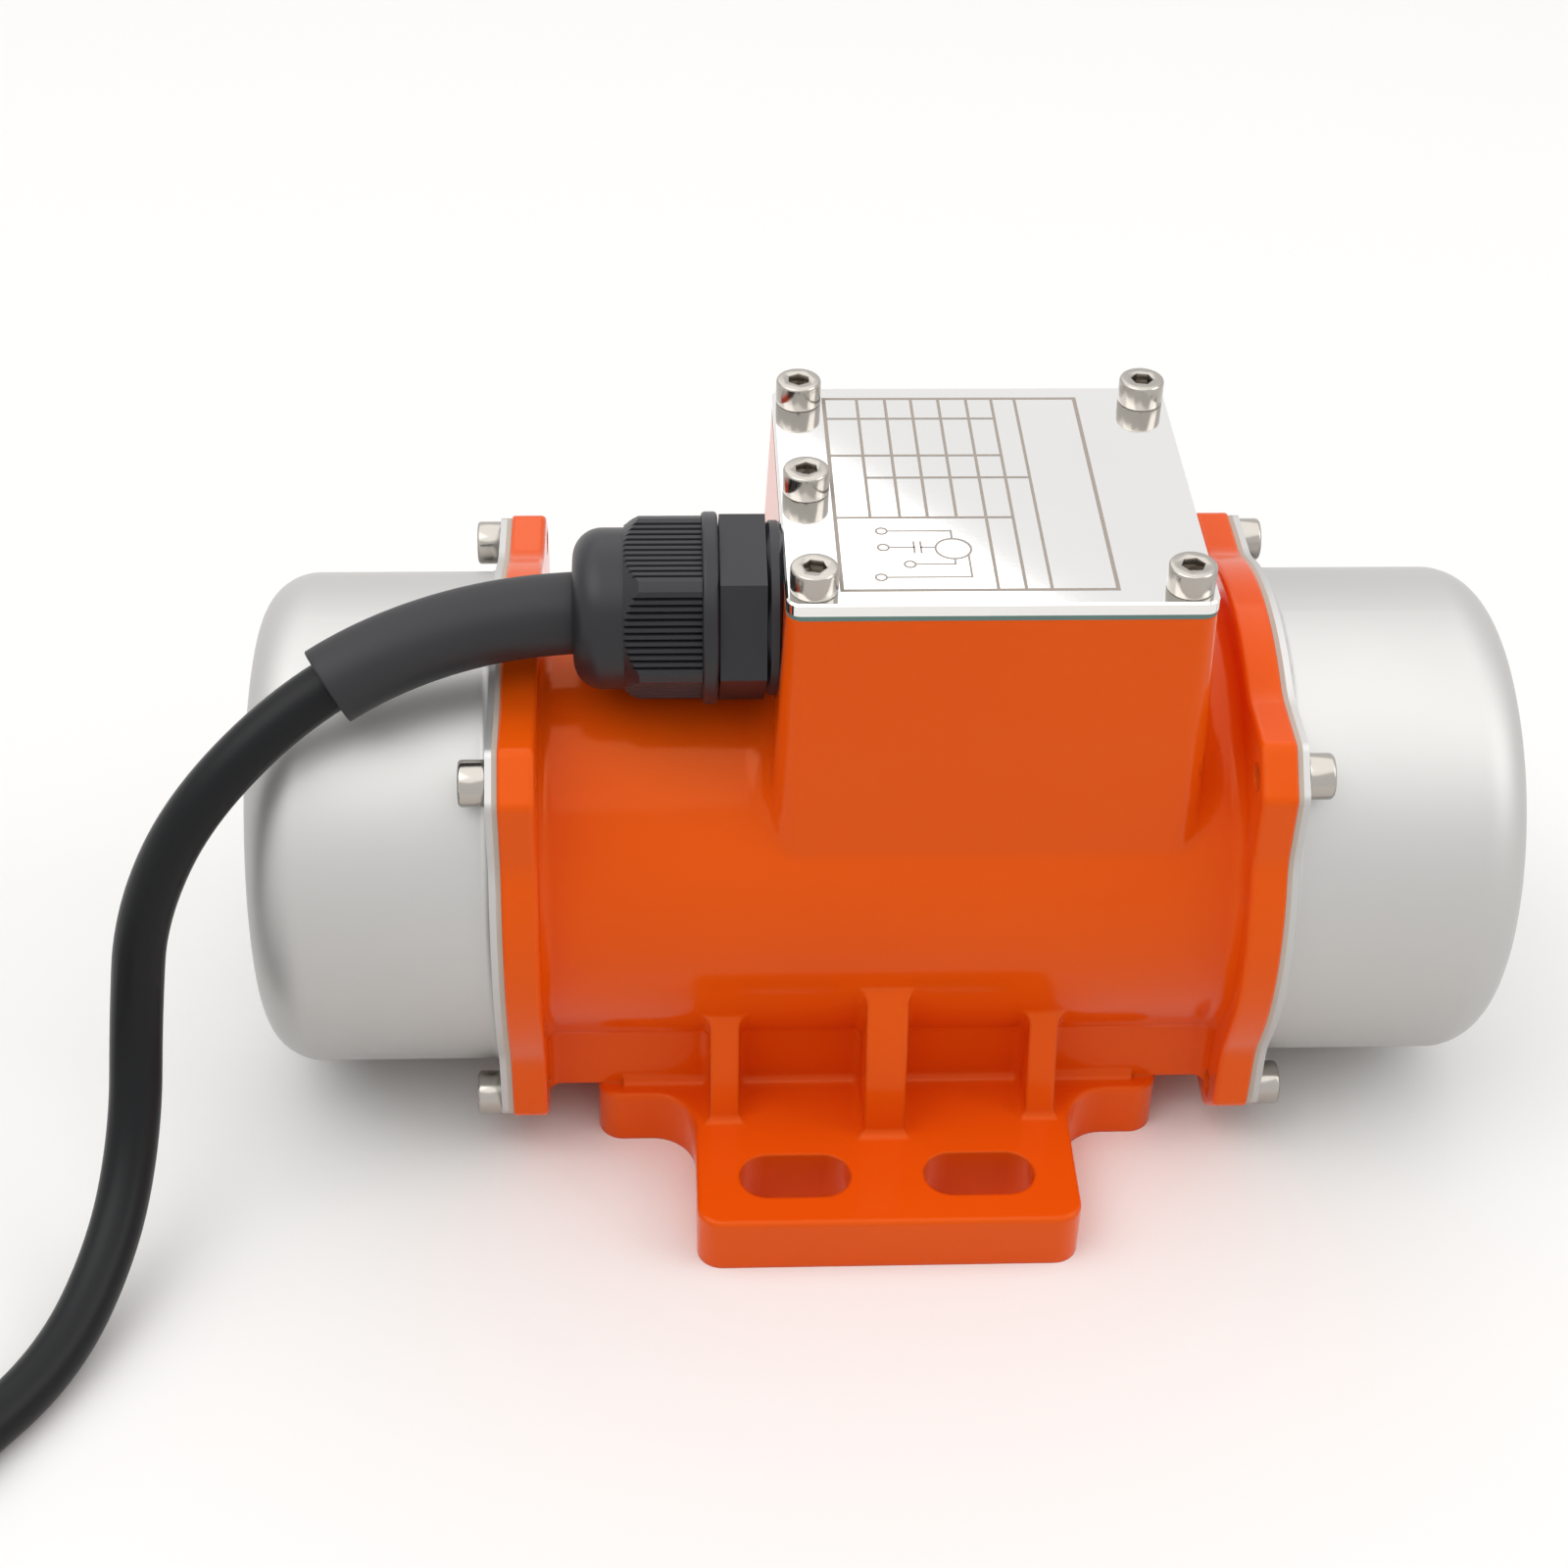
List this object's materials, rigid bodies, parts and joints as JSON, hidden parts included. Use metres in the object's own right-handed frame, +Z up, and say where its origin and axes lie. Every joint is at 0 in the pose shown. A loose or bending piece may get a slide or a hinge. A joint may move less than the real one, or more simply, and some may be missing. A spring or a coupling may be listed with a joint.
{
  "type": "vibration motor",
  "caption": "Small electric vibration motor: ribbed cast body on slotted feet, drawn end caps over eccentric weights, a terminal box on top and a cable through a gland.",
  "frame": {"origin": "bottom centre of the motor: the mounting face of the feet, under the middle of the shaft", "axes": "+X along the shaft towards the end away from the cable gland, +Y to the back, away from the cable coil, +Z up out of the feet to the terminal box"},
  "size_m": [0.341, 0.2037, 0.109],
  "materials": {
    "orange_enamel": "glossy enamel on cast aluminium",
    "satin_stainless": "satin",
    "polished_stainless": "polished",
    "screw_stainless": "polished",
    "cap_gasket_rubber": "matt",
    "cover_gasket_rubber": "matt",
    "cast_aluminium": "as cast",
    "bearing_steel": "ground",
    "cage_brass": "pressed",
    "core_steel": "stacked sheet",
    "copper_winding": "varnished",
    "shaft_steel": "ground",
    "weight_steel": "blackened",
    "black_nylon": "satin",
    "seal_rubber": "matt",
    "sleeve_rubber": "matt",
    "cable_jacket": "satin",
    "white_nylon": "satin",
    "capacitor_case": "moulded",
    "terminal_brass": "machined",
    "core_insulation": "extruded",
    "tinned_copper": "crimped"
  },
  "bodies": {
    "motor_body": {"housing": "orange_enamel", "terminal_cover": "polished_stainless", "cover_gasket": "cover_gasket_rubber", "cover_screws": "screw_stainless", "stator_core": "core_steel", "stator_winding": "copper_winding", "gland_washer": "black_nylon", "gland_body": "black_nylon", "gland_seal": "seal_rubber", "gland_nut": "black_nylon", "terminal_block": "white_nylon", "terminal_screws": "terminal_brass", "run_capacitor": "capacitor_case", "ground_screw": "screw_stainless", "supply_cores": "core_insulation", "stator_leads": "core_insulation", "cable": "cable_jacket", "cable_sleeve": "sleeve_rubber", "cable_coil": "cable_jacket", "cable_cores": "core_insulation", "core_ferrules": "tinned_copper", "end_cap_right": "satin_stainless", "end_cap_left": "satin_stainless", "cap_gasket_right": "cap_gasket_rubber", "cap_gasket_left": "cap_gasket_rubber", "cap_screws_right": "screw_stainless", "cap_screws_left": "screw_stainless", "bearing_shield_right": "cast_aluminium", "bearing_shield_left": "cast_aluminium", "shield_screws_right": "screw_stainless", "shield_screws_left": "screw_stainless", "bearing_outer_ring_right": "bearing_steel", "bearing_outer_ring_left": "bearing_steel"},
    "rotor": {"shaft": "shaft_steel", "rotor_core": "core_steel", "rotor_cage": "cast_aluminium", "bearing_inner_ring_right": "bearing_steel", "bearing_inner_ring_left": "bearing_steel", "inner_spacer_right": "shaft_steel", "inner_spacer_left": "shaft_steel", "fixed_weight_right": "weight_steel", "fixed_weight_left": "weight_steel", "shaft_key_right": "shaft_steel", "shaft_key_left": "shaft_steel", "weight_washers_right": "screw_stainless", "weight_washers_left": "screw_stainless", "retaining_ring_right": "weight_steel", "retaining_ring_left": "weight_steel"},
    "right_loose_weight": {"adjustable_weight_right": "weight_steel", "clamp_screw_right": "screw_stainless"},
    "right_ball_set": {"bearing_cage_right": "cage_brass", "bearing_balls_right": "bearing_steel"},
    "left_loose_weight": {"adjustable_weight_left": "weight_steel", "clamp_screw_left": "screw_stainless"},
    "left_ball_set": {"bearing_cage_left": "cage_brass", "bearing_balls_left": "bearing_steel"}
  },
  "joints": [
    {"name": "rotor_spin", "type": "hinge", "parent": "motor_body", "child": "rotor", "pos_m": [0, 0, 0.043], "axis": [1, 0, 0], "continuous": true},
    {"name": "right_weight_turn", "type": "hinge", "parent": "rotor", "child": "right_loose_weight", "pos_m": [0.0795, 0, 0.043], "axis": [1, 0, 0], "range_deg": [0, 180]},
    {"name": "left_weight_turn", "type": "hinge", "parent": "rotor", "child": "left_loose_weight", "pos_m": [-0.0795, 0, 0.043], "axis": [1, 0, 0], "range_deg": [0, 180]},
    {"name": "right_ball_roll", "type": "hinge", "parent": "motor_body", "child": "right_ball_set", "pos_m": [0.052, 0, 0.043], "axis": [1, 0, 0], "continuous": true},
    {"name": "left_ball_roll", "type": "hinge", "parent": "motor_body", "child": "left_ball_set", "pos_m": [-0.052, 0, 0.043], "axis": [1, 0, 0], "continuous": true}
  ],
  "couplings": [
    {"joint": "right_ball_roll", "follows": "rotor_spin", "ratio": 0.384},
    {"joint": "left_ball_roll", "follows": "rotor_spin", "ratio": 0.384}
  ]
}
